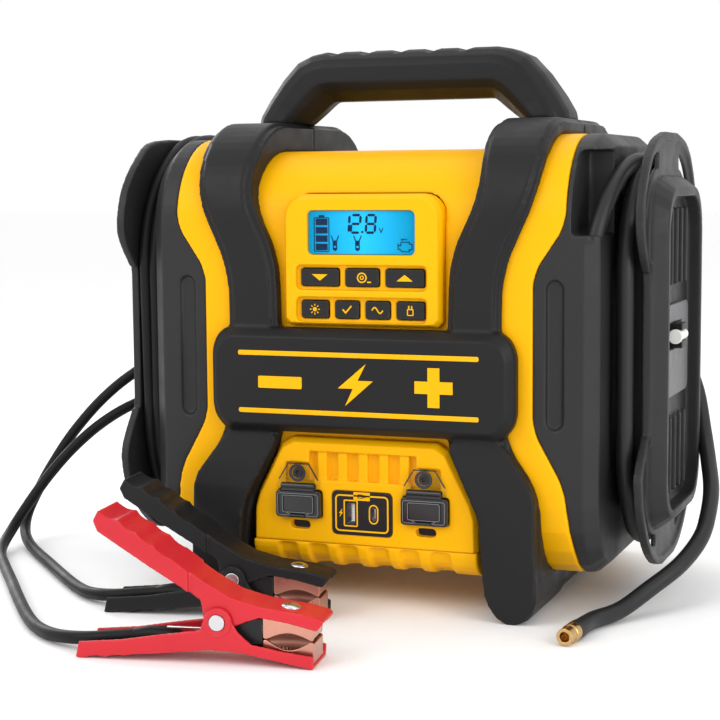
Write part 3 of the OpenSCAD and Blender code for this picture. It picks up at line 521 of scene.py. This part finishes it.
def draw_volts(ink):
    """Three figures, a point before the last and a small unit mark."""
    foot, width, height, line = 223.4, 5.6, 10.2, 1.45
    for figure, x in (("1", -13.5), ("2", -6.6), ("8", 2.8)):
        digit(ink, figure, x, foot, width, height, line)
    ink.plate(round_box(0.7, foot + 0.4, 0.6, 0.6, 0.25))
    ink.stroke([(11.2, 226.2), (12.4, foot), (13.6, 226.2)], 0.5)


def draw_clamp_sign(ink, x):
    for side in (-1, 1):
        ink.stroke([(x + 2.4 * side, 221.6), (x + 1.1 * side, 218.4), (x + 1.1 * side, 213.2)], 0.6)
    ink.plate(round_box(x, 217.2, 0.7, 1.6, 0.2))
    ink.plate(round_box(x, 213.6, 0.7, 0.9, 0.2))


def draw_engine_sign(ink):
    engine_x, engine_z = 27.2, 215.6
    outline = [(-4.4, 1.6), (-4.4, -1.8), (-3.2, -1.8), (-2, -3.1), (2.6, -3.1), (2.6, -1.9),
               (4.2, -1.9), (4.2, 1.2), (2.6, 1.2), (2.6, 2.4), (-2.6, 2.4), (-2.6, 0.4), (-4.4, 0.4)]
    ink.stroke([(engine_x + x, engine_z + z) for x, z in outline], 0.55)
    ink.stroke([(25.4, 218.6), (25.4, 219.7), (23.6, 219.7), (28.6, 219.7)], 0.5)


def draw_display():
    """The dark figures and signs on the blue display."""
    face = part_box("lcd_module")[0].y / MM
    ink = Relief(face - 0.25, face - 0.05)
    draw_battery_gauge(ink)
    draw_volts(ink)
    for clamp_x in (-16.6, -2.4):
        draw_clamp_sign(ink, clamp_x)
    draw_engine_sign(ink)
    ink.piece("display_segments", DARK_INK, "pack", "display")


def circle(x, z, r, steps=20):
    return [(x + r * math.cos(i * math.tau / steps), z + r * math.sin(i * math.tau / steps))
            for i in range(steps)]


def arrow(sign, x, z, way):
    """A triangle that points up where way is 1, and down where it is -1."""
    sign.plate([(x - 5, z - 1.8 * way), (x + 5, z - 1.8 * way), (x, z + 2 * way)])


def tyre(sign, x, z):
    sign.ring(circle(x, z, 3.1), circle(x, z, 2.3))
    sign.ring(circle(x, z, 1.3), circle(x, z, 0.7))
    sign.plate(round_box(x + 4.5, z - 2.6, 1.2, 0.4, 0.15))


def lamp(sign, x, z):
    rays, middle = 8, Vector((x, z))
    sign.plate(circle(x, z, 1.3))
    for i in range(rays):
        a = i * math.tau / rays
        ray = Vector((math.cos(a), math.sin(a)))
        sign.stroke([middle + ray * 2, middle + ray * 3.2], 0.55)


def tick(sign, x, z):
    sign.stroke([(x - 2.6, z + 0.2), (x - 0.8, z - 1.8), (x + 2.9, z + 2.3)], 0.9)


def wave(sign, x, z):
    half, swing, steps = 3.4, 1.7, 16
    sign.stroke([(x - half + 2 * half * i / steps, z + swing * math.sin(i * math.tau / steps))
                 for i in range(steps + 1)], 0.8)


def plug(sign, x, z):
    sign.frame(x, z - 0.8, 2.0, 2.0, 0.5, 0.6)
    for side in (-1, 1):
        sign.plate(round_box(x + side * 0.9, z + 2.1, 0.4, 0.9, 0.1))


BUTTON_SIGNS = {
    "button_down": lambda sign, x, z: arrow(sign, x, z, -1),
    "button_up": lambda sign, x, z: arrow(sign, x, z, 1),
    "button_air": tyre,
    "button_light": lamp,
    "button_check": tick,
    "button_ac": wave,
    "button_usb": plug,
}


def draw_legends():
    """Rounds each button and draws its yellow sign."""
    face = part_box("button_air")[0].y / MM
    for node in NODES:
        if node in BUTTON_SIGNS:
            low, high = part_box(node)
            sign = Relief(face - 0.14, face + 0.05)
            BUTTON_SIGNS[node](sign, (low.x + high.x) / 2 / MM, (low.z + high.z) / 2 / MM)
            moulded(node, 0.35, 3)
            sign.piece(node.replace("button_", "legend_"), LEGEND, BODY_OF[node], "yellow_shell")


def draw_name_plate():
    """A minus sign, a bolt and a plus sign stand where a name would be."""
    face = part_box("name_stripes")[0].y / MM
    sign = Relief(face, face + 1)
    sign_x, sign_z = 48, 135
    sign.plate(round_box(-sign_x, sign_z, 14, 3.6, 0.8))
    bolt = [(6.5, 12.5), (-11, -2.2), (-1.6, -2.2), (-6.5, -12.5), (11, 2.6), (1.4, 2.6)]
    sign.plate([(x, sign_z + dz) for x, dz in bolt])
    arm, reach = 3.6, 11.5
    cross = [(reach, arm), (arm, arm), (arm, reach), (-arm, reach), (-arm, arm), (-reach, arm)]
    cross += [(-x, -dz) for x, dz in cross]
    sign.plate([(sign_x + x, sign_z + dz) for x, dz in cross])
    sign.piece("polarity_emblem", LEGEND, "pack", "yellow_shell", bevel=0.25)


# ---------- lower panel ----------
def slot_line(x, z, r, h, steps=8):
    """An upright slot outline, by its end radius and overall half height."""
    line = []
    for sign, start in ((1, 0), (-1, 180)):
        for i in range(steps + 1):
            a = math.radians(start + 180 * i / steps)
            line.append((x + r * math.cos(a), z + sign * (h - r) + r * math.sin(a)))
    return line


USB_Z, PORT_A_X, PORT_C_X, TAG_Z = 57.2, -7, 7.5, 67.6
OUTLET_X, COVER_Z, SCREW_Z, FINGER_Z = 39.8, 61.0, 80.3, 48.3
COVER_FACE, BRACKET_FACE, COLLAR_FACE, SLOT_FLOOR = -104.4, -103.3, -105.0, -96.6
CONTACTS, CONTACT_PITCH = 8, 1.4


def draw_usb_marks():
    """The yellow outlines of the two ports, with a bolt beside them and a tag above."""
    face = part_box("usb_panel")[0].y / MM
    sign = Relief(face - 0.15, face + 0.1)
    sign.frame(0, USB_Z, 16.9, 11.1, 2.8, 0.95)
    sign.plate(round_box(0, TAG_Z, 5.2, 2.5, 0.5))
    sign.frame(PORT_A_X, USB_Z, 4.5, 8.1, 0.9, 0.8)
    sign.ring(slot_line(PORT_C_X, USB_Z, 3.0, 5.9), slot_line(PORT_C_X, USB_Z, 2.2, 5.1))
    bolt_x = -13.2
    bolt = [(1.0, 2.8), (-1.3, -0.3), (-0.2, -0.3), (-1.0, -2.8), (1.3, 0.4), (0.2, 0.4)]
    sign.plate([(bolt_x + x, USB_Z + z) for x, z in bolt])
    sign.piece("usb_panel_marks", LEGEND, "pack", "yellow_shell")
    mark = Relief(face - 0.22, face - 0.1)
    mark.frame(-0.9, TAG_Z, 1.6, 1.2, 0.3, 0.45)
    for side in (-1, 1):
        mark.plate(round_box(1.6, TAG_Z + 0.6 * side, 0.9, 0.22, 0.1))
    mark.piece("usb_tag_plug", MATERIALS["black_button"], "pack", "black_button")


def line_usb_ports():
    """The black mouths of the ports, and the contacts on the tongue of the type A one."""
    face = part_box("usb_panel")[0].y / MM
    mouth = Relief(face - 0.12, face + 0.3)
    mouth.frame(PORT_A_X, USB_Z, 3.72, 7.32, 0.6, 0.95)
    mouth.ring(slot_line(PORT_C_X, USB_Z, 2.2, 5.1), slot_line(PORT_C_X, USB_Z, 1.45, 4.35))
    mouth.piece("usb_mouths", MATERIALS["black_button"], "pack", "black_button")
    port_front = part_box("usb_a_port")[0].y / MM
    tongue = Relief(port_front + 2.2, port_front + 5)
    tongue.plate(round_box(PORT_A_X + 0.9, USB_Z, 0.7, 5.2, 0.2))
    for i in range(CONTACTS):
        contact_z = USB_Z + CONTACT_PITCH * (i - (CONTACTS - 1) / 2)
        tongue.plate(round_box(PORT_A_X - 0.1, contact_z, 0.4, 0.4, 0.1))
    tongue.piece("usb_a_tongue", CONTACT, "pack", "white_plastic")


def darken_finger_slots():
    """The deep floor of the finger slot under each outlet cover."""
    floor = Relief(SLOT_FLOOR, SLOT_FLOOR + 0.5)
    for x in (-OUTLET_X, OUTLET_X):
        floor.plate(round_box(x, FINGER_Z, 6.1, 2.4, 2.3))
    floor.piece("finger_slot_floors", MATERIALS["black_button"], "pack", "black_button")


def arc_line(x, z, w, drop, steps=12):
    """A shallow curve, w to each side of x and sagging by drop in the middle."""
    return [(x + w * (2 * i / steps - 1), z - drop * math.sin(math.pi * i / steps))
            for i in range(steps + 1)]


def dress_cover(node, x):
    """The raised rims of a cover, its framed window and finger lip, and pale lines of painted
    highlight on their edges.
    """
    moulded(node, 0.35, 3)
    body = BODY_OF[node]
    window_z, lip_z = COVER_Z + 0.3, COVER_Z - 4.4
    rim = Relief(COVER_FACE - 0.7, COVER_FACE + 0.3)
    rim.frame(x, COVER_Z, 14.1, 7.8, 2.2, 1.7)
    rim.frame(x, window_z, 10.3, 5.6, 1.4, 0.9)
    rim.stroke(arc_line(x, lip_z, 9.4, 2.6), 0.9)
    rim.piece(node + "_rim", MATERIALS["smoked_cover"], body, "smoked_cover", bevel=0.25)
    # Thin pale lines on the rims stand for their highlights: painted highlight.
    lines = Relief(COVER_FACE - 0.76, COVER_FACE - 0.6)
    lines.frame(x, COVER_Z, 13.0, 6.7, 1.5, 0.28)
    lines.frame(x, window_z, 9.9, 5.2, 1.1, 0.26)
    lines.stroke(arc_line(x, lip_z, 9.0, 2.5), 0.26)
    lines.piece(node + "_painted_highlight_lines", GLINT, body, "smoked_cover")


def dress_bracket(side, x):
    """A dark line along the slanted edges of a bracket, and a dark collar round its screw."""
    foot_z, top_z, foot_w, top_w = 75.8, 85.6, 12.6, 6.6
    edge = Relief(BRACKET_FACE, BRACKET_FACE + 0.5)
    edge.stroke([(x - foot_w, foot_z), (x - top_w, top_z), (x + top_w, top_z),
                 (x + foot_w, foot_z)], 0.7)
    edge.piece(side + "_bracket_edge", MATERIALS["smoked_cover"], "pack", "smoked_cover")
    collar = Relief(COLLAR_FACE, COLLAR_FACE + 0.5)
    collar.ring(circle(x, SCREW_Z, 5.4, 28), circle(x, SCREW_Z, 3.5, 28))
    collar.piece(side + "_screw_collar", MATERIALS["smoked_cover"], "pack", "smoked_cover", bevel=0.15)


def dress_covers():
    for side, x in (("left", -OUTLET_X), ("right", OUTLET_X)):
        dress_cover(side + "_outlet_cover", x)
        dress_bracket(side, x)


# ---------- clamps ----------
CLAMPS = {"red": Vector((-110, -237, 0)), "black": Vector((-144, -146, 0))}
CLAMP_TURN = math.radians(8.5)
PIVOT_X, PIVOT_Z = 79.8, 23
RIVET_X, RIVET_Z, RIVET_SLOPE = 116.5, 29.7, 7
RIDGE_PITCH, RIDGE_SKIN = 11.6, 5


def clamp_matrix(colour):
    """From a clamp's own millimetres to the frame in metres."""
    place = Matrix.Translation(CLAMPS[colour] * MM)
    return place @ Matrix.Rotation(CLAMP_TURN, 4, "Z") @ Matrix.Scale(MM, 4)


def ridged(colour, start, ahead, reach, deep):
    """A move for points that presses finger ridges into a lever's back, from start along ahead."""
    to_frame = clamp_matrix(colour)
    to_clamp = to_frame.inverted()
    ahead = Vector(ahead).normalized()
    inward = Vector((ahead.y, -ahead.x))

    def move(point):
        local = to_clamp @ point
        offset = Vector((local.x, local.z)) - Vector(start)
        along, depth = offset.dot(ahead), offset.dot(inward)
        if 0 < along < reach and -1 < depth < RIDGE_SKIN:
            wave_height = abs(math.sin(math.pi * along / RIDGE_PITCH)) ** 0.8
            dip = deep * wave_height * (1 - max(depth, 0) / RIDGE_SKIN)
            local.x += inward.x * dip
            local.z += inward.y * dip
        return to_frame @ local

    return move


def moved_to_clamp(piece, colour):
    piece.data.transform(clamp_matrix(colour) @ Matrix.Scale(1 / MM, 4))


def ring_of(b, sides, place):
    """New points round a ring, where place gives a point for an angle."""
    return [b.verts.new(place(i * math.tau / sides)) for i in range(sides)]


def skin_between(b, loops):
    """Faces between each closed loop of points and the next."""
    faces = []
    for near, far in zip(loops, loops[1:]):
        for i in range(len(near)):
            j = (i + 1) % len(near)
            faces.append(b.faces.new((near[i], near[j], far[j], far[i])))
    return faces


def clamp_piece(colour, name, b, material, body):
    """A piece from a mesh in the millimetres of a clamp."""
    b.transform(clamp_matrix(colour))
    add_piece(colour + name, mesh_data(colour + name, b), material, body)


def add_rivet(colour):
    """The domed rivet that holds the upper jaw, with a short skirt under the dome."""
    radius, height, skirt, rings, sides = 5.4, 2.0, 0.6, 6, 28
    b = bmesh.new()
    rows = [(radius, -skirt), (radius, 0.0)]
    for i in range(1, rings):
        a = math.radians(90 * i / rings)
        rows.append((radius * math.cos(a), height * math.sin(a)))
    loops = [ring_of(b, sides, lambda a: (r * math.cos(a), r * math.sin(a), z)) for r, z in rows]
    skin_between(b, loops)
    b.faces.new(loops[0][::-1])
    top = b.verts.new((0, 0, height))
    for i in range(sides):
        b.faces.new((loops[-1][i], loops[-1][(i + 1) % sides], top))
    for face in b.faces:
        face.smooth = True
    place = Matrix.Translation((RIVET_X, 0, RIVET_Z))
    b.transform(place @ Matrix.Rotation(math.radians(RIVET_SLOPE), 4, "Y"))
    clamp_piece(colour, "_jaw_rivet", b, MATERIALS["plated_steel"], colour + "_upper_lever")


def add_liner(colour):
    """The black insulating block behind the jaws."""
    half_width = 9.6
    web = Relief(-half_width, half_width)
    web.plate([(87.6, 12), (87.6, 22), (91, 23.5), (94, 22), (98, 24.5), (103, 24.6), (103, 11.2),
               (96, 11.2)])
    moved_to_clamp(web.piece(colour + "_clamp_liner", MATERIALS["black_button"], "pack",
                             "black_button"), colour)


def add_eye_wall(colour, part, low, high, body):
    """The inner sheet of a jaw, which bows away behind the openings in its cheeks."""
    x0, x1, front, steps, bow, sheet = 104.6, 129.0, -6.5, 14, 4.0, 0.9
    b = bmesh.new()
    columns = []
    for i in range(steps + 1):
        x = x0 + (x1 - x0) * i / steps
        y = front + bow * math.sin(math.pi * i / steps)
        columns.append([b.verts.new((x, y + dy, z)) for dy, z in
                        ((0, low), (0, high), (sheet, high), (sheet, low))])
    for face in skin_between(b, columns):
        face.smooth = True
    b.faces.new(columns[0])
    b.faces.new(columns[-1][::-1])
    bmesh.ops.recalc_face_normals(b, faces=b.faces)
    # The sheet takes the darker copper: painted shade.
    clamp_piece(colour, "_" + part + "_inner_sheet", b, SHADED_JAW_COPPER, body)


def add_sleeve(colour):
    """The black sleeve shrunk over the end of the cable and its crimp, flatter at the crimp."""
    sides, flat_from, flat_width = 24, 50, 1.3
    rows = [(28, 9.9, 3.4), (29, 10.0, 4.1), (34, 10.6, 4.3), (38, 11, 4.6), (49, 11, 4.6),
            (52, 10.8, 4.3), (57, 10, 2.9), (60, 9.6, 2.4)]
    b = bmesh.new()
    loops = []
    for x, z, r in rows:
        half = r * (flat_width if x > flat_from else 1)
        loops.append(ring_of(b, sides, lambda a: (x, half * math.cos(a), z + r * math.sin(a))))
    for face in skin_between(b, loops):
        face.smooth = True
    b.faces.new(loops[0][::-1])
    b.faces.new(loops[-1])
    bmesh.ops.recalc_face_normals(b, faces=b.faces)
    clamp_piece(colour, "_crimp_sleeve", b, MATERIALS["cable_jacket"], "pack")


def add_bosses(colour):
    """A raised ring round each end of the pivot pin."""
    inside, outside = 14.9, 15.5
    ring = Relief(-outside, -inside)
    for depths in ((-outside, -inside), (inside, outside)):
        ring.depths = depths
        ring.ring(circle(PIVOT_X, PIVOT_Z, 7.6, 32), circle(PIVOT_X, PIVOT_Z, 4.7, 32))
    moved_to_clamp(ring.piece(colour + "_pivot_boss", MATERIALS[colour + "_lever"], "pack",
                              colour + "_lever", bevel=0.15), colour)


def wire_piece(name, lines, body):
    """Round spring wire along lines of points, each with its clamp, in that clamp's millimetres."""
    wire_r = 0.8
    placed = [[clamp_matrix(colour) @ Vector(point) for point in line] for colour, line in lines]
    return add_piece(name, tube_data(name, placed, wire_r * MM, 3), MATERIALS["plated_steel"], body)


def add_springs():
    """A coil round each pivot pin. One leg lies on the lower lever and one moves with the upper."""
    coil_r, turns, half, steps = 5.7, 5.5, 7.2, 110
    top, bottom, leg_steps = math.pi / 2, -math.pi / 2, 5

    def on_coil(a, y):
        return (PIVOT_X + coil_r * math.cos(a), y, PIVOT_Z + coil_r * math.sin(a))

    coils = []
    for colour in CLAMPS:
        line = [(PIVOT_X - 30, -half, 17.5), (PIVOT_X - 12, -half, 17.6)]
        line += [on_coil(bottom - math.tau * turns * i / steps, half * (2 * i / steps - 1))
                 for i in range(steps + 1)]
        coils.append((colour, line))
        leg = [on_coil(top - 0.12 * i, half) for i in range(leg_steps, -1, -1)]
        leg += [(PIVOT_X - 12, half, 33), (PIVOT_X - 22, half, 39.5)]
        wire_piece(colour + "_spring_leg", [(colour, leg)], colour + "_upper_lever")
    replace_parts(wire_piece("clamp_spring_coils", coils, "pack"), "clamp_springs")


def dress_clamps():
    """Everything on the two clamps."""
    for colour in CLAMPS:
        upper_ridges = ridged(colour, (16, 82), (0.86, -0.51), 46, 1.7)
        lower_ridges = ridged(colour, (52, -0.2), (-1, 0), 46, 1.2)
        moulded(colour + "_upper_lever", 0.6, 9, 0.5, upper_ridges)
        moulded(colour + "_lower_lever", 0.6, 7, 0.5, lower_ridges)
        moulded(colour + "_pin", 0.3, 3)
        moulded(colour + "_lower_jaw", 0.3, 2)
        moulded(colour + "_upper_jaw", 0.3, 2)
        add_rivet(colour)
        add_liner(colour)
        add_bosses(colour)
        add_sleeve(colour)
        add_eye_wall(colour, "lower", 6.6, 14.0, "pack")
        add_eye_wall(colour, "upper", 14.1, 25.0, colour + "_upper_lever")
    add_springs()


# ---------- cords ----------
def curve_point(a, b, c, d, t):
    """A point of a Catmull-Rom curve, between b at t = 0 and c at t = 1."""
    square = (2 * a - 5 * b + 4 * c - d) * t * t
    cube = (3 * b - a - 3 * c + d) * t ** 3
    return (2 * b + (c - a) * t + square + cube) / 2


def smooth(points, steps):
    """A smooth line through every point."""
    p = [Vector(q) for q in points]
    line = []
    for i in range(len(p) - 1):
        before, after = p[max(i - 1, 0)], p[min(i + 2, len(p) - 1)]
        line += [curve_point(before, p[i], p[i + 1], after, j / steps) for j in range(steps)]
    return line + [p[-1]]


HOSE_ROUTE = [(149, 77, 180), (150, 78, 160), (157, 80, 138), (166, 77, 116), (173, 64, 92),
              (179, 46, 76), (185, 22, 62), (187, 0, 50), (186, -20, 39), (178, -42, 27),
              (164, -62, 16), (151, -82, 7), (140, -104, 5.5), (137, -124, 5.5)]
RED_ROUTE = [(-154, 84, 150), (-156, 85, 138), (-164, 86, 125), (-180, 78, 114), (-202, 60, 106),
             (-226, 38, 97), (-246, 26, 84), (-263, 14, 67), (-277, 3, 48), (-287, -9, 29),
             (-291, -24, 14), (-287, -43, 6), (-276, -62, 4), (-258, -86, 4), (-230, -122, 4),
             (-200, -161, 4), (-172, -196, 4), (-152, -217, 4), (-132, -231, 5), (-110, -237, 7),
             (-90, -234, 9), (-72, -231, 11)]
BLACK_ROUTE = [(-145, 82, 200), (-147, 84, 184), (-156, 86, 168), (-174, 80, 152), (-201, 62, 136),
               (-226, 42, 120), (-248, 32, 101), (-268, 24, 77), (-282, 17, 54), (-290, 10, 36),
               (-294, 2, 21), (-290, -9, 11), (-279, -23, 6), (-261, -42, 4), (-234, -70, 4),
               (-207, -98, 4), (-184, -121, 4), (-164, -138, 5), (-144, -146, 7), (-124, -143, 9),
               (-106, -140, 11)]
HOSE_START = [(133, -86, 208), (135.6, -84.3, 220.6), (138, -80, 232), (140.2, -73.2, 242),
              (142.3, -64, 250.6), (144.1, -52.6, 257.2), (145.7, -39, 261.7), (147.1, -23.3, 263.8),
              (148.2, -5.6, 263.3)]
RED_START = [(-152, 12, 212), (-152, -8, 224), (-151.5, -24, 237), (-151, -29, 250)]
BLACK_START = [(-145, -18, 96), (-146, -33, 108), (-147, -48, 126), (-148, -60, 150)]
HOSE_D, CABLE_D = 0.010, 0.0075
# Heights of the ends of a spool's straight runs, and the shares of a turn in a straight and an arc
SPOOL_LOW, SPOOL_HIGH = 100, 200
STRAIGHT, ARC = 0.16, 0.34


def spool_point(u, w):
    """Y and Z after u turns round a spool, from the foot of its front run, up, over and round."""
    u %= 1
    if u < STRAIGHT:
        return -w, SPOOL_LOW + (SPOOL_HIGH - SPOOL_LOW) * u / STRAIGHT
    if u < STRAIGHT + ARC:
        a = math.pi * (1 - (u - STRAIGHT) / ARC)
        return w * math.cos(a), SPOOL_HIGH + w * math.sin(a)
    if u < 2 * STRAIGHT + ARC:
        return w, SPOOL_HIGH - (SPOOL_HIGH - SPOOL_LOW) * (u - STRAIGHT - ARC) / STRAIGHT
    a = -math.pi * (u - 2 * STRAIGHT - ARC) / ARC
    return w * math.cos(a), SPOOL_LOW + w * math.sin(a)


def wound(x0, x1, w0, w1, start, end, per_turn=26):
    """Points along a winding from turn start to turn end, as it grows from w0 to w1 and moves in X."""
    count = round((end - start) * per_turn)
    line = []
    for i in range(count + 1):
        k = i / count
        y, z = spool_point(start + (end - start) * k, w0 + (w1 - w0) * k)
        line.append((x0 + (x1 - x0) * k, y, z))
    return line


def cord_piece(name, points, diameter, slot, replaced):
    line = smooth([Vector(p) * MM for p in points], 5)
    piece = add_piece(name, tube_data(name, [line], diameter / 2, 5), MATERIALS[slot], "pack")
    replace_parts(piece, *replaced)


def run_cords():
    hose_turns = wound(149, 149, 62, 66, 0.355, 1.44)
    red_turns = wound(-150, -154, 68, 82, 0.3, 1.45)
    black_turns = wound(-148, -145, 68, 82, 0.125, 1.43)
    cord_piece("air_hose_line", HOSE_START + hose_turns + HOSE_ROUTE, HOSE_D, "hose_rubber",
               ["air_hose", "hose_winding"])
    cord_piece("red_cable_line", RED_START + red_turns + RED_ROUTE, CABLE_D, "cable_jacket",
               ["red_cable", "cable_winding"])
    cord_piece("black_cable_line", BLACK_START + black_turns + BLACK_ROUTE, CABLE_D, "cable_jacket",
               ["black_cable"])


def dress_hose_end():
    for fitting in ("hose_ferrule", "brass_nozzle"):
        moulded(fitting, 0.3, 3)


place_camera()
light_studio()
lay_floor()
dress_nodes()
round_casing()
draw_display()
draw_legends()
draw_name_plate()
draw_usb_marks()
line_usb_ports()
darken_finger_slots()
dress_covers()
dress_clamps()
dress_hose_end()
run_cords()
